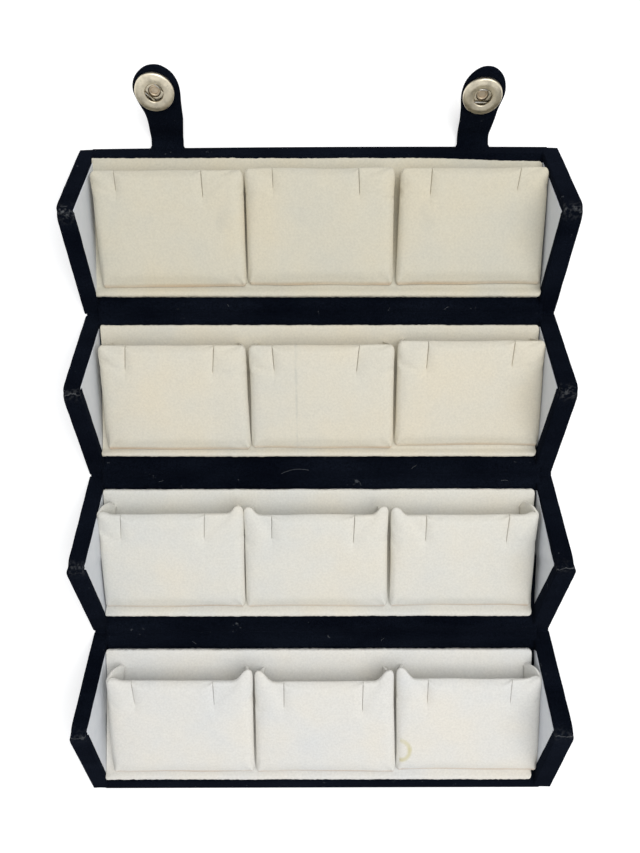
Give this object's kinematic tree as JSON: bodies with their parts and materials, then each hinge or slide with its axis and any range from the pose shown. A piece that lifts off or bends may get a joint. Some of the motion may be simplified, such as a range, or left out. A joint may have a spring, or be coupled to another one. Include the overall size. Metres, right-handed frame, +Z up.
{
  "type": "earring organizer box",
  "caption": "Roll-up earring box of triangular velvet trays hinged in a chain, with slit pads inside and snap straps that close it into a square bar.",
  "frame": {"origin": "centre of the flat underside of the second tray, which lies on the table when the box is open", "axes": "+X along the trays, +Y across them from tray 4 to tray 1 and its straps, +Z up out of the open trays"},
  "size_m": [0.1802, 0.267, 0.0314],
  "materials": {
    "black_velvet": "matt velvet",
    "grey_board": "raw",
    "white_card": "smooth",
    "cream_velvet": "matt velvet",
    "pale_velvet": "matt velvet",
    "nickel": "pale nickel, satin",
    "spring_steel": "bright"
  },
  "bodies": {
    "tray_1": {"tray_1_cover": "black_velvet", "tray_1_board": "grey_board", "tray_1_end_wall_left": "black_velvet", "tray_1_end_card_left": "white_card", "tray_1_end_wall_right": "black_velvet", "tray_1_end_card_right": "white_card", "tray_1_liner": "cream_velvet", "tray_1_pad_left": "cream_velvet", "tray_1_pad_middle": "cream_velvet", "tray_1_pad_right": "cream_velvet", "strap_root_left": "black_velvet", "strap_root_right": "black_velvet"},
    "tray_2": {"tray_2_cover": "black_velvet", "tray_2_board": "grey_board", "tray_2_end_wall_left": "black_velvet", "tray_2_end_card_left": "white_card", "tray_2_end_wall_right": "black_velvet", "tray_2_end_card_right": "white_card", "tray_2_liner": "cream_velvet", "tray_2_pad_left": "cream_velvet", "tray_2_pad_middle": "cream_velvet", "tray_2_pad_right": "cream_velvet", "hinge_cloth_1_2": "black_velvet", "hinge_cloth_2_3": "black_velvet"},
    "tray_3": {"tray_3_cover": "black_velvet", "tray_3_board": "grey_board", "tray_3_end_wall_left": "black_velvet", "tray_3_end_card_left": "white_card", "tray_3_end_wall_right": "black_velvet", "tray_3_end_card_right": "white_card", "tray_3_liner": "pale_velvet", "tray_3_pad_left": "pale_velvet", "tray_3_pad_middle": "pale_velvet", "tray_3_pad_right": "pale_velvet", "hinge_cloth_3_4": "black_velvet"},
    "tray_4": {"tray_4_cover": "black_velvet", "tray_4_board": "grey_board", "tray_4_end_wall_left": "black_velvet", "tray_4_end_card_left": "white_card", "tray_4_end_wall_right": "black_velvet", "tray_4_end_card_right": "white_card", "tray_4_liner": "pale_velvet", "tray_4_pad_left": "pale_velvet", "tray_4_pad_middle": "pale_velvet", "tray_4_pad_right": "pale_velvet", "snap_stud_left": "nickel", "stud_eyelet_left": "nickel", "snap_stud_right": "nickel", "stud_eyelet_right": "nickel"},
    "strap_left": {"strap_left": "black_velvet", "snap_socket_left": "nickel", "socket_spring_left": "spring_steel", "snap_cap_left": "nickel"},
    "strap_right": {"strap_right": "black_velvet", "snap_socket_right": "nickel", "socket_spring_right": "spring_steel", "snap_cap_right": "nickel"}
  },
  "joints": [
    {"name": "hinge_1_2", "type": "hinge", "parent": "tray_2", "child": "tray_1", "pos_m": [0, 0.031, 0], "axis": [1, 0, 0], "range_deg": [0, 90]},
    {"name": "hinge_2_3", "type": "hinge", "parent": "tray_2", "child": "tray_3", "pos_m": [0, -0.031, 0], "axis": [-1, 0, 0], "range_deg": [0, 90]},
    {"name": "hinge_3_4", "type": "hinge", "parent": "tray_3", "child": "tray_4", "pos_m": [0, -0.093, 0], "axis": [-1, 0, 0], "range_deg": [-3.43, 86.57]},
    {"name": "strap_left_hinge", "type": "hinge", "parent": "tray_1", "child": "strap_left", "pos_m": [-0.0572, 0.097, 0.001], "axis": [1, 0, 0], "range_deg": [-60, 30]},
    {"name": "strap_right_hinge", "type": "hinge", "parent": "tray_1", "child": "strap_right", "pos_m": [0.0572, 0.097, 0.001], "axis": [1, 0, 0], "range_deg": [-60, 30]}
  ]
}
